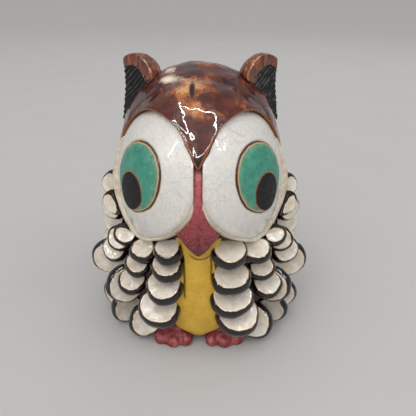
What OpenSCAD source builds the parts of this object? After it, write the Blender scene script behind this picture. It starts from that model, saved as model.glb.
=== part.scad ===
// Hand-built pottery owl: a hollow two-bowl body closed by a base slab, with
// luted-on eye domes, ears, beak, belly panel, feet and rows of clay feathers.
// Millimetres, +Z up, the face looks towards -Y, left and right as seen from
// the front. The origin is the middle of the footprint, on the ground.

/* [Body] */
// widest width of the lower bowl
body_w = 72; // [60:1:86]
// height of the seam between the lower and the upper bowl
body_h = 60; // [50:1:72]
// how round the lower bowl turns in to the ground
body_turn = 24; // [16:1:28]
// wall of the clay bowls
wall = 5; // [3.5:0.5:6]
// thickness of the base slab
base_t = 5; // [3:0.5:7]
// air hole through the base slab
vent_d = 8; // [4:1:12]
// how far behind the middle the air hole sits
vent_back = 11; // [8:1:14]

/* [Head] */
// width of the head bowl
head_w = 70; // [60:1:84]
// height of the head above the seam, ears not counted
head_h = 57; // [48:1:68]
// how far the brow runs forward of the round head
brow_reach = 11; // [9:0.5:13.5]
// height of the tip of the brow above the seam
brow_tip = 28; // [23:1:33]

/* [Eyes] */
// curvature of the eye domes
eye_r = 42; // [38:1:50]
// width of an eye dome across its rim
eye_w = 51.8; // [42:0.5:54]
// how far each eye looks sideways
eye_az = 51.5; // [46:0.5:56]
// how far each eye looks upwards
eye_el = 10; // [4:1:14]
// height of the eye rim ledge behind each dome
ledge_t = 3.3; // [2:0.1:4.5]
// how far the ledge runs out past the dome
ledge_out = 1; // [0.6:0.1:2]
// width of the iris
iris_w = 27.6; // [22:0.2:33]
// width of the pupil
pupil_w = 14.6; // [11:0.2:16]
// how far the pupil sits below the middle of the iris, in degrees
pupil_drop = 8.2; // [5:0.1:8.4]
// depth of the iris and pupil inlays
inlay_t = 1.2; // [0.8:0.1:2]
// width of the scored line round iris and pupil
score_w = 0.8; // [0.4:0.1:1.2]

/* [Beak] */
// greatest width of the beak
beak_w = 17.5; // [14:0.5:21]
// width of the ridge between the eyes
ridge_w = 3.8; // [3:0.2:6]
// depth of the beak tip below the seam
beak_drop = 9; // [7:0.5:12]
// slope of the two cheeks of the beak
beak_slope = 24; // [12:1:34]

/* [Belly] */
// width of the belly panel at the top
belly_top_w = 12; // [8:0.5:15]
// width of the belly panel at the bottom
belly_low_w = 22; // [16:0.5:26]
// thickness of the belly panel on the bowl
belly_t = 2; // [1.2:0.1:3]

/* [Ears] */
// thickness of an ear lobe
ear_w = 20; // [16.5:0.5:24]
// height of the ear tips above the crown
ear_rise = 3.5; // [1:0.5:7]
// how far the ears lean outwards
ear_tilt = 2; // [0:1:8]
// how far the open side of the ear faces sideways
ear_az = 40; // [32:1:48]
// how deep the scored pad is let into the ear
pad_t = 1.6; // [1:0.1:2.5]
// width of the rim left round the pad
ear_rim = 3.6; // [2.6:0.1:4.6]

/* [Feathers] */
// width of the smallest feathers, next to the eyes
feather_small = 10; // [8:0.1:11.2]
// width of the largest feathers
feather_large = 17; // [13.5:0.1:18]
// thickness of a feather disc
feather_t = 3.5; // [2.6:0.1:4]
// gap between the first feathers and the eye ledges
eye_gap = 0.15; // [0.1:0.05:0.5]
// depth of the dished face of a feather
feather_dish = 0.9; // [0.4:0.1:1.3]
// lean of the front feathers away from the body
feather_lean = 22; // [18:1:28]
// lean added where feathers turn sideways
feather_flare = 30; // [14:1:36]

/* [Feet] */
// width of a toe
toe_w = 6; // [4.8:0.2:7.2]
// how far the toes stand out from the bowl
toe_reach = 37.5; // [33:0.5:42]
// distance from the midline to the inner toe
toe_gap = 4.6; // [3.5:0.1:7]

/* [Hidden] */
$fn = 72;
eps = 0.01;
body_r = body_w / 2;
head_r = head_w / 2;
crown_z = body_h + head_h;
turn_x = body_r - body_turn;
// eye frame: sphere centre, distance to the rim plane and to the seat
eye_x = eye_r - head_r + 0.4;
eye_y = -0.23 * head_r;
eye_z = body_h + 0.215 * head_h;
rim_r = eye_w / 2;
rim_d = sqrt(eye_r * eye_r - rim_r * rim_r);
seat_d = rim_d - ledge_t + 0.8;
ledge_r = rim_r + ledge_out;
ledge_dx = -0.4;
ledge_dz = -1.5;
rim_z = eye_z + rim_d * sin(eye_el);
rim_az = atan2(rim_d * cos(eye_el) * sin(eye_az) - eye_x,
    rim_d * cos(eye_el) * cos(eye_az) - eye_y);
iris_r = iris_w / 2;
pupil_r = pupil_w / 2;
iris_az = eye_az - 0.3;
iris_el = eye_el + 1;
pupil_az = iris_az + 2.4;
pupil_el = iris_el - pupil_drop;
// brow sphere
brow_r = head_r - 2;
brow_y = -brow_reach - 2;
brow_z = body_h + 0.35 * head_h;
// ears: capsules leaning outwards, flattened on the open side and outside
ear_r = ear_w / 2;
ear_top = crown_z + ear_rise - ear_r;
ear_drop = 26;
ear_out = 0.905 * head_r;
ear_x = ear_out - ear_r * 0.6;
ear_face = 0.16 * ear_r;

// feathers
rows = 5;
row_n = [10, 8, 7, 7, 7];
row_start = [19, 19, 20, 27, 37];
row_at = [0, 0.16, 0.39, 0.68, 1];
row_grow = [0, 0.4, 0.78, 1, 0.85];
low_z = 0.8 * feather_large;
rim_s = body_r * rim_az * PI / 180;
back_from = 100;

// ---- shared shapes ----
module to_left() { mirror([1, 0, 0]) children(); }

// points children's +Z outwards at an azimuth from the front and an elevation
module aim(az, el) {
    rotate([0, 0, az]) rotate([-el, 0, 0]) rotate([90, 0, 0]) children();
}

// half outline of the bowls, grown by d
module bowl_outline(d) {
    translate([turn_x, body_turn])
        intersection() {
            circle(r = body_turn + d);
            translate([0, -body_turn]) square([2 * body_turn, body_turn]);
        }
    translate([0, d > 0 ? 0 : -d]) square([turn_x, body_turn + eps + min(d, 0)]);
    polygon([[0, body_turn], [body_r + d, body_turn],
        [head_r + d, body_h], [0, body_h]]);
}

module body_solid(d = 0) {
    rotate_extrude() intersection() {
        bowl_outline(d);
        square([2 * body_r, body_h]);
    }
}

// both bowls as one plain turned form
module trunk() {
    rotate_extrude() {
        bowl_outline(0);
        translate([0, body_h - eps]) square([head_r, head_h - head_r + eps]);
        intersection() {
            translate([0, crown_z - head_r]) circle(r = head_r);
            translate([0, crown_z - head_r - eps]) square([head_r, head_r + eps]);
        }
    }
}

// round head: a short drum under a half ball
module head_round() {
    translate([0, 0, body_h]) cylinder(r = head_r, h = head_h - head_r);
    translate([0, 0, crown_z - head_r]) intersection() {
        sphere(r = head_r);
        translate([0, 0, head_r / 2]) cube([2.2 * head_r, 2.2 * head_r, head_r], center = true);
    }
}

module brow_ball() {
    intersection() {
        translate([0, brow_y, brow_z]) sphere(r = brow_r);
        translate([-head_r, -2 * head_r, body_h + brow_tip])
            cube([2 * head_r, 2 * head_r, head_h]);
    }
}

module eye_frame() { translate([eye_x * -1, eye_y, eye_z]) children(); }

// everything in front of the eye seat, inside the ledge circle
module eye_socket() {
    eye_frame() aim(eye_az, eye_el) translate([ledge_dx, ledge_dz, seat_d])
        cylinder(r = ledge_r, h = eye_r);
}

module head_solid() {
    difference() {
        union() { head_round(); brow_ball(); }
        eye_socket();
        to_left() eye_socket();
    }
}

module right_half(gap) {
    translate([gap, -3 * head_r, 0]) cube([3 * head_r, 4 * head_r, 2 * crown_z]);
}

module dome_raw() {
    intersection() {
        eye_frame() aim(eye_az, eye_el) rotate_extrude() intersection() {
            circle(r = eye_r);
            translate([0, seat_d - 14]) square([rim_r, eye_r]);
        }
        right_half(ridge_w / 2);
    }
}

// room taken by an eye, ledge and dome together
module eye_tube(gap = 0) {
    eye_frame() aim(eye_az, eye_el) translate([ledge_dx, ledge_dz, seat_d - 20])
        cylinder(r = ledge_r + gap, h = eye_r);
}

module eye_room() {
    intersection() {
        eye_tube();
        right_half(ridge_w / 2);
    }
}

module ledge_raw() {
    intersection() {
        eye_frame() aim(eye_az, eye_el) translate([ledge_dx, ledge_dz, seat_d])
            cylinder(r = ledge_r, h = ledge_t);
        right_half(ridge_w / 2);
    }
}

// inlay blank of radius r and depth t on the eye dome
module inlay(az, el, r, t) {
    difference() {
        eye_frame() aim(az, el) translate([0, 0, eye_r / 2]) cylinder(r = r, h = eye_r);
        eye_frame() sphere(r = eye_r - t);
    }
}

// ---- body ----
module base_slab() {
    color([0.62, 0.47, 0.36]) difference() {
        intersection() {
            body_solid();
            cylinder(r = turn_x + body_turn * 0.55, h = base_t);
        }
        translate([0, vent_back, -1]) cylinder(d = vent_d, h = base_t + 2);
    }
}

module body_bowl() {
    color([0.22, 0.16, 0.13]) difference() {
        body_solid();
        rotate_extrude() intersection() {
            bowl_outline(-wall);
            translate([0, base_t]) square([2 * body_r, body_h]);
        }
        translate([0, 0, -1]) cylinder(r = turn_x + body_turn * 0.55, h = base_t + 1);
        translate([0, 0, base_t - eps]) cylinder(r = turn_x + body_turn * 0.4, h = wall);
    }
}

module head_bowl() {
    color([0.36, 0.17, 0.10]) difference() {
        head_solid();
        cavity_r = head_r - wall - ledge_t - 1;
        rotate_extrude() {
            polygon([[0, body_h - 1], [head_r - wall, body_h - 1],
                [head_r - wall, body_h], [cavity_r, body_h + 5],
                [cavity_r, crown_z - head_r], [0, crown_z - head_r]]);
            intersection() {
                translate([0, crown_z - head_r]) circle(r = cavity_r);
                translate([0, crown_z - head_r]) square([head_r, head_r]);
            }
        }
    }
}

module belly_blank() {
    intersection() {
        body_solid(belly_t);
        rotate([90, 0, 0]) linear_extrude(2 * body_r) {
            intersection() {
                translate([0, body_turn * 0.9]) circle(r = belly_low_w * 0.66);
                translate([-belly_low_w / 2, 0]) square([belly_low_w, body_turn * 0.9]);
            }
            polygon([[-belly_low_w / 2, body_turn * 0.9 - eps], [belly_low_w / 2, body_turn * 0.9 - eps],
                [belly_top_w / 2, body_h * 0.76], [beak_w / 2 + 1, body_h - 1],
                [-beak_w / 2 - 1, body_h - 1], [-belly_top_w / 2, body_h * 0.76]]);
        }
    }
}

module belly_panel() {
    color([0.78, 0.62, 0.16]) difference() {
        belly_blank();
        body_solid();
        eye_room();
        to_left() eye_room();
        beak_blank();
    }
}

// ---- face ----
module beak_blank() {
    kite_z = body_h - beak_drop * 0.08;
    ridge_z = body_h + 0.3 * head_h;
    top_z = body_h + brow_tip;
    front = brow_r - brow_y;
    intersection() {
        rotate([90, 0, 0]) linear_extrude(2 * head_r)
            polygon([[0, body_h - beak_drop], [beak_w / 2, kite_z], [ridge_w / 2, ridge_z],
                [ridge_w / 2, top_z], [-ridge_w / 2, top_z], [-ridge_w / 2, ridge_z],
                [-beak_w / 2, kite_z]]);
        translate([0, 0, body_h + 0.15 * head_h]) sphere(r = front + 0.8);
        for (s = [-1, 1]) rotate([0, 0, s * beak_slope])
            translate([-2 * head_r, -front * cos(beak_slope) - 0.6, 0])
                cube([4 * head_r, front * cos(beak_slope) + 0.6 - head_r * 0.8, crown_z]);
    }
}

module beak() {
    color([0.66, 0.16, 0.22]) difference() {
        beak_blank();
        body_solid();
        head_round();
        eye_room();
        to_left() eye_room();
    }
}

module eye_ledge() {
    color([0.86, 0.80, 0.70]) difference() {
        ledge_raw();
        eye_frame() aim(eye_az, eye_el) translate([0, 0, seat_d - 14])
            cylinder(r = rim_r, h = eye_r);
        body_solid();
    }
}
module right_eye_ledge() { eye_ledge(); }
module left_eye_ledge() { to_left() eye_ledge(); }

module eye_dome() {
    color([0.93, 0.92, 0.89]) difference() {
        dome_raw();
        head_solid();
        body_solid();
        inlay(iris_az, iris_el, iris_r + score_w, inlay_t);
    }
}
module right_eye_dome() { eye_dome(); }
module left_eye_dome() { to_left() eye_dome(); }

module iris() {
    color([0.18, 0.52, 0.45]) difference() {
        intersection() {
            inlay(iris_az, iris_el, iris_r, inlay_t);
            eye_frame() sphere(r = eye_r);
        }
        inlay(pupil_az, pupil_el, pupil_r + score_w, inlay_t);
    }
}
module right_iris() { iris(); }
module left_iris() { to_left() iris(); }

module pupil() {
    color([0.06, 0.06, 0.06]) intersection() {
        inlay(pupil_az, pupil_el, pupil_r, inlay_t);
        eye_frame() sphere(r = eye_r);
    }
}
module right_pupil() { pupil(); }
module left_pupil() { to_left() pupil(); }

// ---- ears ----
module ear_capsule(r) {
    translate([ear_x, 0, ear_top]) rotate([0, ear_tilt, 0]) {
        sphere(r = r);
        translate([0, 0, -ear_drop]) cylinder(r = r, h = ear_drop);
    }
}

module ear_side(d) {
    translate([ear_x, 0, ear_top]) rotate([0, ear_tilt, 0])
        aim(ear_az, 0) translate([0, 0, d]) children();
}

module ear_limit() {
    translate([-ear_out, -2 * head_r, 0]) cube([2 * ear_out, 4 * head_r, 2 * crown_z]);
}

module ear_blank() {
    difference() {
        intersection() { ear_capsule(ear_r); ear_limit(); }
        ear_side(ear_face) translate([-2 * ear_r, -4 * ear_r, 0])
            cube([4 * ear_r, 6 * ear_r, 2 * ear_r]);
    }
}

module pad_blank() {
    intersection() {
        ear_side(ear_face - pad_t) union() {
            translate([2, -2.2, 0]) cylinder(r = ear_r - ear_rim + 1, h = pad_t);
            translate([1 - ear_r + ear_rim, -ear_drop, 0])
                cube([2 * (ear_r - ear_rim + 1), ear_drop - 2.2, pad_t]);
        }
        ear_capsule(ear_r);
        ear_limit();
    }
}

module ear() {
    color([0.42, 0.22, 0.13]) difference() {
        ear_blank();
        head_round();
        brow_ball();
        dome_raw();
        pad_blank();
    }
}
module right_ear() { ear(); }
module left_ear() { to_left() ear(); }

module ear_pad() {
    color([0.09, 0.09, 0.09]) difference() {
        pad_blank();
        head_round();
        brow_ball();
        dome_raw();
    }
}
module right_ear_pad() { ear_pad(); }
module left_ear_pad() { to_left() ear_pad(); }

// ---- feet ----
module toe(x, turn, reach) {
    r = toe_w / 2;
    translate([x, 0, r * 0.8]) rotate([0, 0, turn]) {
        translate([0, -reach + r, 0]) sphere(r = r);
        translate([0, -reach + r, 0]) rotate([-90, 0, 0]) cylinder(r = r, h = reach * 0.45);
    }
}

module foot() {
    step = toe_w * 0.8;
    color([0.60, 0.17, 0.20]) difference() {
        union() {
            toe(toe_gap, 2, toe_reach - 1);
            toe(toe_gap + step, 3, toe_reach);
            toe(toe_gap + 2 * step, 5, toe_reach - 2);
            translate([toe_gap + step * 1.1, -toe_reach * 0.72, 0.6 * toe_w]) sphere(r = toe_w * 0.95);
        }
        body_solid();
        belly_blank();
        translate([0, 0, -20]) cube([8 * body_r, 8 * body_r, 40], center = true);
    }
}
module right_foot() { foot(); }
module left_foot() { to_left() foot(); }

// ---- feathers ----
function row_step(k) = (180 - row_start[k]) / (row_n[k] - 0.5);
function f_az(k, i) = row_start[k] + i * row_step(k);
function clamp(v, a, b) = max(a, min(b, v));
function top_z(az) = let (ds = body_r * az * PI / 180 - rim_s, d = ledge_r + 0.4)
    min(body_h + 6, rim_z - sqrt(max(0, d * d - ds * ds)));
function f_z(k, az) = top_z(az) * (1 - row_at[k]) + low_z * row_at[k];
function fade(az) = clamp((125 - az) / 40, 0, 1);
function f_turn(k, az) = fade(az) * ((1 - row_at[k])
    * clamp(atan2(body_r * az * PI / 180 - rim_s, rim_z - f_z(k, az)), 0, 70)
    + row_at[k] * clamp((az - 20) * 1.7, 0, 75));
function f_lean(k, az) = feather_lean + feather_flare * f_turn(k, az) / 75;
function f_full(k) = (feather_small + (feather_large - feather_small) * row_grow[k]) / 2;
// round the back the feathers of a row lie side by side without touching
function f_r(k, i) = f_az(k, i) < back_from ? f_full(k)
    : min(f_full(k), 0.97 * body_r * sin(row_step(k) / 2));
function skin_r(z) = z < body_turn ? turn_x + sqrt(body_turn * body_turn - (body_turn - z) * (body_turn - z))
    : z > body_h ? head_r : body_r + (head_r - body_r) * (z - body_turn) / (body_h - body_turn);

module feather(k, i) {
    az = f_az(k, i);
    z = f_z(k, az);
    r = f_r(k, i);
    dish_r = (r - 0.7) * (r - 0.7) / (2 * feather_dish) + feather_dish / 2;
    rotate([0, 0, az]) translate([0, -skin_r(z), z])
        rotate([0, -f_turn(k, az), 0]) rotate([-f_lean(k, az), 0, 0])
            translate([0, 0, -0.45 * r]) rotate([90, 0, 0]) difference() {
                cylinder(r = r, h = feather_t);
                translate([0, 0, feather_t + dish_r - feather_dish]) sphere(r = dish_r);
            }
}

// feather i of row k, trimmed by the ones that lie over it
module feather_cut(k, i) {
    difference() {
        feather(k, i);
        if (k > 0) for (j = [0:row_n[k - 1] - 1])
            if (abs(f_az(k - 1, j) - f_az(k, i)) < 30) feather(k - 1, j);
        if (i > 0 && f_az(k, i - 1) < back_from) feather(k, i - 1);
    }
}

module feathers_half(k, from, to) {
    for (i = [0:row_n[k] - 1])
        if (f_az(k, i) >= from && f_az(k, i) < to) feather_cut(k, i);
}

module feather_seat(k) {
    trunk();
    if (k < 4) belly_blank();
    if (k < 2) eye_tube(eye_gap);
}

module side_feathers(k) {
    color([0.90, 0.88, 0.84]) difference() {
        feathers_half(k, 0, back_from);
        feather_seat(k);
    }
}

// the two halves stop just short of each other at the back
module back_half(k) {
    intersection() {
        feathers_half(k, back_from, 180);
        translate([0.1, 0, 0]) cube([2 * body_r, 2 * body_r, body_h + 20]);
    }
}

module back_feathers(k) {
    color([0.90, 0.88, 0.84]) difference() {
        union() {
            back_half(k);
            to_left() back_half(k);
        }
        trunk();
    }
}

module left_feathers_1() { to_left() side_feathers(0); }
module left_feathers_2() { to_left() side_feathers(1); }
module left_feathers_3() { to_left() side_feathers(2); }
module left_feathers_4() { to_left() side_feathers(3); }
module left_feathers_5() { to_left() side_feathers(4); }
module right_feathers_1() { side_feathers(0); }
module right_feathers_2() { side_feathers(1); }
module right_feathers_3() { side_feathers(2); }
module right_feathers_4() { side_feathers(3); }
module right_feathers_5() { side_feathers(4); }
module back_feathers_1() { back_feathers(0); }
module back_feathers_2() { back_feathers(1); }
module back_feathers_3() { back_feathers(2); }
module back_feathers_4() { back_feathers(3); }
module back_feathers_5() { back_feathers(4); }

base_slab();
body_bowl();
head_bowl();
belly_panel();
beak();
left_eye_ledge();
right_eye_ledge();
left_eye_dome();
right_eye_dome();
left_iris();
right_iris();
left_pupil();
right_pupil();
left_ear();
right_ear();
left_ear_pad();
right_ear_pad();
left_foot();
right_foot();
left_feathers_1();
left_feathers_2();
left_feathers_3();
left_feathers_4();
left_feathers_5();
right_feathers_1();
right_feathers_2();
right_feathers_3();
right_feathers_4();
right_feathers_5();
back_feathers_1();
back_feathers_2();
back_feathers_3();
back_feathers_4();
back_feathers_5();
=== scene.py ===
import math

import bmesh
import bpy
import numpy as np
from mathutils import Matrix, Vector


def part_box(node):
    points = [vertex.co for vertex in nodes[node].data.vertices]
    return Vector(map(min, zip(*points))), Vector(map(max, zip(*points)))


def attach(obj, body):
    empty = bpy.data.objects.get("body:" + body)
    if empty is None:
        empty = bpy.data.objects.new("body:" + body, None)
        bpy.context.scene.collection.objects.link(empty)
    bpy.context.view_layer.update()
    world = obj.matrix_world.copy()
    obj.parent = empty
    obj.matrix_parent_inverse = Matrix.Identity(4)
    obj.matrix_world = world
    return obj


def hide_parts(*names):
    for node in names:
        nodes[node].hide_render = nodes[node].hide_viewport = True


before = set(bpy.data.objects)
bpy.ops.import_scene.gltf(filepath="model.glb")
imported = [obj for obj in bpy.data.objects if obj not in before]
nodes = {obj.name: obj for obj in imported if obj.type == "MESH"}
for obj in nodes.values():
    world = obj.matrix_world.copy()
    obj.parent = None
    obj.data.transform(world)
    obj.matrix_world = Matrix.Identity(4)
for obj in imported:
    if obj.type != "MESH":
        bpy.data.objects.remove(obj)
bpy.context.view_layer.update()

# Ceramic owl figurine. Lengths are in millimetres until a mesh is made; Blender's are metres.
MM = 0.001
scene = bpy.context.scene


# ---- named sizes: the CAD source's values, but for the iris and pupil, which are moved and resized ----
def box_mm(node):
    lo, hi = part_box(node)
    return np.array(lo) / MM, np.array(hi) / MM


body_r = 36.0
body_h = 60.0
body_turn = 24.0
head_r = 35.0
head_h = 57.0
turn_x = body_r - body_turn
base_t = box_mm("base_slab")[1][2]
eye_r = 42.0
rim_r = 25.9
eye_az = 51.5
eye_el = 10.0
eye_c = np.array([-(eye_r - head_r + 0.4), -0.23 * head_r, body_h + 0.215 * head_h])
rim_d = math.sqrt(eye_r**2 - rim_r**2)
ledge_t = 3.3
seat_d = rim_d - ledge_t + 0.8
ledge_r = rim_r + 1.0
socket_off = (-0.4, -1.5)
ridge_w = 3.8
iris_r = 13.8
iris_dir = (eye_az - 0.3, eye_el + 0.3)
pupil_r = 7.8
pupil_dir = (eye_az + 1.7, eye_el + 1 - 9.2)
feather_t = 3.5
ear_az = 40


# ---- small maths ----
def rot(axis, deg):
    c, s = math.cos(math.radians(deg)), math.sin(math.radians(deg))
    return np.array(
        {
            "x": [[1, 0, 0], [0, c, -s], [0, s, c]],
            "y": [[c, 0, s], [0, 1, 0], [-s, 0, c]],
            "z": [[c, -s, 0], [s, c, 0], [0, 0, 1]],
        }[axis]
    )


def aim(az, el):
    """Turns +Z to the direction az, el; the columns are the turned axes."""
    return rot("z", az) @ rot("x", -el) @ rot("x", 90)


PERM = np.random.RandomState(11).permutation(256)
GRAD = np.random.RandomState(12).normal(size=(256, 3))
GRAD /= np.linalg.norm(GRAD, axis=1)[:, None]


def lump(p, size, seed=0):
    """Smooth noise about -1 to 1 at points p, with lumps of the given size in mm."""
    q = np.asarray(p, float) / size + np.array([seed * 17.31, seed * 5.77, seed * 9.13])
    i = np.floor(q).astype(int)
    f = q - i
    w = f * f * f * (f * (f * 6 - 15) + 10)
    out = np.zeros(len(q))
    for dx in (0, 1):
        for dy in (0, 1):
            for dz in (0, 1):
                h = PERM[(i[:, 0] + dx) & 255]
                h = PERM[(h + i[:, 1] + dy) & 255]
                h = PERM[(h + i[:, 2] + dz) & 255]
                g = GRAD[h]
                d = (
                    g[:, 0] * (f[:, 0] - dx)
                    + g[:, 1] * (f[:, 1] - dy)
                    + g[:, 2] * (f[:, 2] - dz)
                )
                wx = w[:, 0] if dx else 1 - w[:, 0]
                wy = w[:, 1] if dy else 1 - w[:, 1]
                wz = w[:, 2] if dz else 1 - w[:, 2]
                out += wx * wy * wz * d
    return out * 1.7


def step(x, a, b):
    t = np.clip((np.asarray(x, float) - a) / (b - a), 0, 1)
    return t * t * (3 - 2 * t)


def spot(p, centre, size):
    """1 at a place, fading to 0 about size mm away from it."""
    d = (p - np.array(centre)) / np.array(size)
    return np.exp(-(d * d).sum(1))


def clamp(v, a, b):
    return max(a, min(b, v))


# ---- meshes ----
def finish_mesh(me, attrs=None):
    bm = bmesh.new()
    bm.from_mesh(me)
    bmesh.ops.recalc_face_normals(bm, faces=bm.faces)
    bm.to_mesh(me)
    bm.free()
    for name, values in (attrs or {}).items():
        a = me.attributes.new(name, "FLOAT", "POINT")
        a.data.foreach_set("value", np.asarray(values, np.float32))
    me.shade_smooth()
    me.update()


def piece(name, me, material, slot, *replaced):
    me.name = name
    obj = bpy.data.objects.new(name, me)
    scene.collection.objects.link(obj)
    me.materials.clear()
    me.materials.append(material)
    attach(obj, "root")
    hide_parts(*replaced)
    return obj


def mesh_of(verts, faces, attrs=None):
    me = bpy.data.meshes.new("m")
    me.from_pydata((np.asarray(verts) * MM).tolist(), [], faces)
    finish_mesh(me, attrs)
    return me


def rings_to_shell(rings, start=0):
    """A closed shell from rings of points; the first and last ring close to a point."""
    n, m, _ = rings.shape
    top, low = rings[0].mean(0), rings[-1].mean(0)
    verts = np.concatenate([rings.reshape(-1, 3), [top, low]])
    faces = []
    for a in range(n - 1):
        this, after = start + a * m, start + (a + 1) * m
        for b in range(m):
            c = (b + 1) % m
            faces.append((this + b, this + c, after + c, after + b))
    end, tip = start + (n - 1) * m, start + n * m
    for b in range(m):
        c = (b + 1) % m
        faces.append((start + c, start + b, tip))
        faces.append((end + b, end + c, tip + 1))
    return verts, faces


def coords(me):
    co = np.zeros(len(me.vertices) * 3)
    me.vertices.foreach_get("co", co)
    return co.reshape(-1, 3) / MM


def normals(me):
    no = np.zeros(len(me.vertices) * 3)
    me.vertices.foreach_get("normal", no)
    return no.reshape(-1, 3)


def set_coords(me, co):
    me.vertices.foreach_set("co", (co * MM).astype(np.float32).ravel())
    me.update()


def remade(node, voxel, smooth, extra=None):
    """A copy of a CAD node's mesh, evenly remeshed with soft edges, as hand-worked clay has."""
    me = nodes[node].data.copy()
    bm = bmesh.new()
    bm.from_mesh(me)
    if extra is not None:
        bm.from_mesh(extra)
    bmesh.ops.remove_doubles(bm, verts=bm.verts, dist=1e-6)
    bm.to_mesh(me)
    bm.free()
    obj = bpy.data.objects.new("work", me)
    scene.collection.objects.link(obj)
    m = obj.modifiers.new("r", "REMESH")
    m.mode = "VOXEL"
    m.voxel_size = voxel * MM
    s = obj.modifiers.new("s", "SMOOTH")
    s.factor = 0.5
    s.iterations = smooth
    out = bpy.data.meshes.new_from_object(obj.evaluated_get(bpy.context.evaluated_depsgraph_get()))
    bpy.data.objects.remove(obj)
    bpy.data.meshes.remove(me)
    return out


# ---- camera, at the photograph's viewing angle ----
look_at = Vector((0, 0, 0.0505))
cam_dist, cam_pitch, cam_yaw = 0.221, math.radians(25.3), math.radians(0.9)
level = math.cos(cam_pitch)
back = Vector((math.sin(cam_yaw) * level, -math.cos(cam_yaw) * level, math.sin(cam_pitch)))
cam = bpy.data.objects.new("camera", bpy.data.cameras.new("camera"))
scene.collection.objects.link(cam)
cam.location = look_at + back * cam_dist
cam.rotation_euler = back.to_track_quat("Z", "Y").to_euler()
cam.data.sensor_width = 36
cam.data.lens = 41.0
cam.data.shift_x = 0.019
cam.data.shift_y = 0.0043
cam.data.clip_start = 0.005
scene.camera = cam
scene.view_settings.view_transform = "Standard"


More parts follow.
